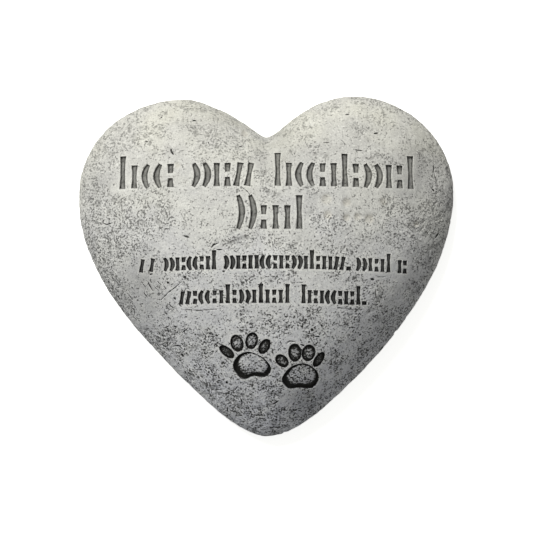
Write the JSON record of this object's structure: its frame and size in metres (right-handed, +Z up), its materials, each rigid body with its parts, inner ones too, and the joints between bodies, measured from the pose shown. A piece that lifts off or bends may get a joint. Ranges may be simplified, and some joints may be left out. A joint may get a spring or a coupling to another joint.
{
  "type": "pet memorial stepping stone",
  "caption": "Domed heart-shaped memorial stone, cast in one piece, with sunk rows of strokes and sunk paw prints on its face and a flat underside.",
  "frame": {"origin": "middle of the flat underside's bounding box, where the stone rests", "axes": "+X across the lobes to the reader's right, +Y from the tip towards the lobes, +Z up out of the domed face"},
  "size_m": [0.25, 0.227, 0.06],
  "materials": {
    "cast_cement": "matt, pitted cast cement in light warm grey, with a dark wash left in the pits and the sunk strokes"
  },
  "bodies": {
    "root": {"heart_stone": "cast_cement"}
  },
  "joints": []
}
